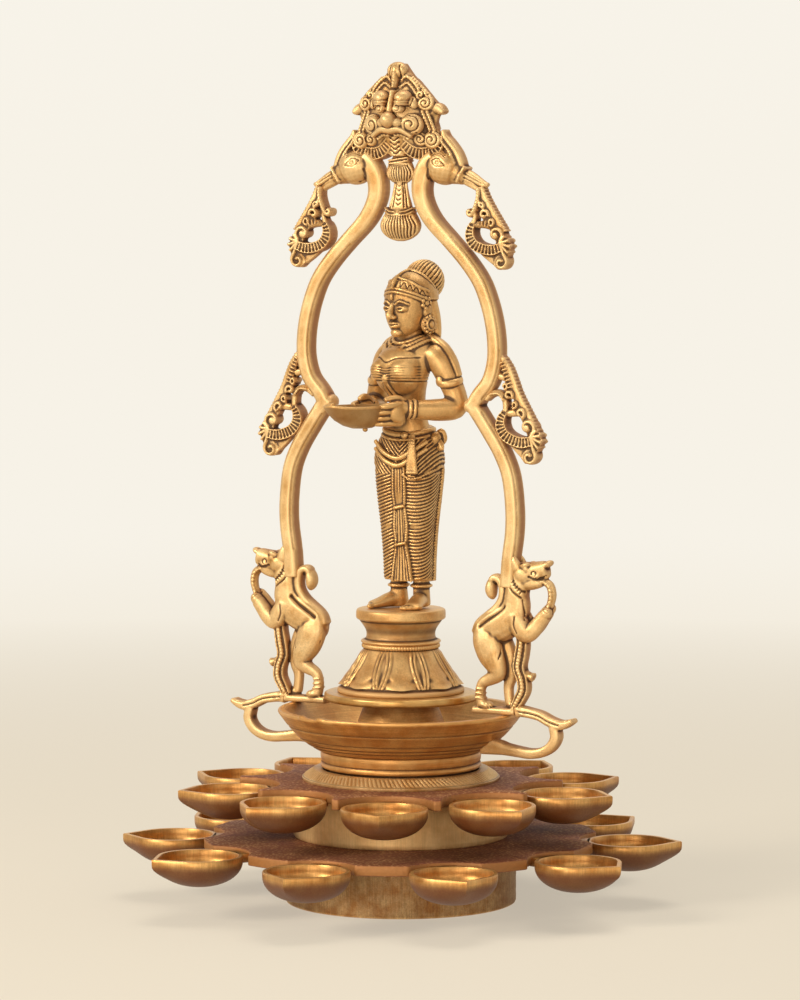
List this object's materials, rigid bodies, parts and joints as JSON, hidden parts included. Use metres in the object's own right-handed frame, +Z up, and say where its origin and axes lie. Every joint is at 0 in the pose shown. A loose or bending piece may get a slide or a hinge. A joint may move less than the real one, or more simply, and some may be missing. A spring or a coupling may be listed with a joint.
{
  "type": "deepalakshmi oil lamp",
  "caption": "Brass oil lamp: a standing lady with a lamp under a swan arch, on a bowl over swivelling tiers of spouted cups.",
  "frame": {"origin": "middle of the base, on the surface that the lamp stands on", "axes": "+Z up along the tie rod, -Y the side that the arch faces, +X to the right seen from that side"},
  "size_m": [0.3094, 0.3186, 0.472],
  "materials": {
    "cast_brass": "aged cast brass, dark in the recesses",
    "turned_brass": "turned, with a satin sheen",
    "filed_brass": "cast and filed",
    "sand_cast_brass": "rough from the sand, dark",
    "steel": "plain"
  },
  "bodies": {
    "base": {"base_drum": "turned_brass", "lower_plate": "sand_cast_brass", "tie_rod": "steel", "rod_nut": "steel", "rod_washer": "steel", "lower_cup_01": "filed_brass", "lower_cup_02": "filed_brass", "lower_cup_03": "filed_brass", "lower_cup_04": "filed_brass", "lower_cup_05": "filed_brass", "lower_cup_06": "filed_brass", "lower_cup_07": "filed_brass", "lower_cup_08": "filed_brass", "lower_cup_09": "filed_brass", "lower_cup_10": "filed_brass"},
    "upper_tier": {"upper_drum": "turned_brass", "upper_plate": "sand_cast_brass", "rope_collar": "turned_brass", "upper_cup_01": "filed_brass", "upper_cup_02": "filed_brass", "upper_cup_03": "filed_brass", "upper_cup_04": "filed_brass", "upper_cup_05": "filed_brass", "upper_cup_06": "filed_brass", "upper_cup_07": "filed_brass", "upper_cup_08": "filed_brass", "upper_cup_09": "filed_brass", "upper_cup_10": "filed_brass"},
    "bowl_and_arch": {"oil_bowl": "turned_brass", "left_handle": "cast_brass", "right_handle": "cast_brass", "cone_spacer": "turned_brass", "drip_disc": "turned_brass", "left_lion": "cast_brass", "right_lion": "cast_brass", "left_swan_stem": "cast_brass", "right_swan_stem": "cast_brass", "left_upper_scroll": "cast_brass", "right_upper_scroll": "cast_brass", "left_lower_scroll": "cast_brass", "right_lower_scroll": "cast_brass", "lion_mask": "cast_brass", "mask_tassel": "cast_brass"},
    "lady": {"lotus_pedestal": "cast_brass", "lady_figure": "cast_brass", "hand_lamp": "filed_brass"}
  },
  "joints": [
    {"name": "upper_tier_swivel", "type": "hinge", "parent": "base", "child": "upper_tier", "pos_m": [0, 0, 0.0375], "axis": [0, 0, 1], "continuous": true},
    {"name": "bowl_swivel", "type": "hinge", "parent": "upper_tier", "child": "bowl_and_arch", "pos_m": [0, 0, 0.07], "axis": [0, 0, 1], "continuous": true},
    {"name": "lady_swivel", "type": "hinge", "parent": "bowl_and_arch", "child": "lady", "pos_m": [0, 0, 0.1195], "axis": [0, 0, 1], "range_deg": [-42, 78]}
  ]
}
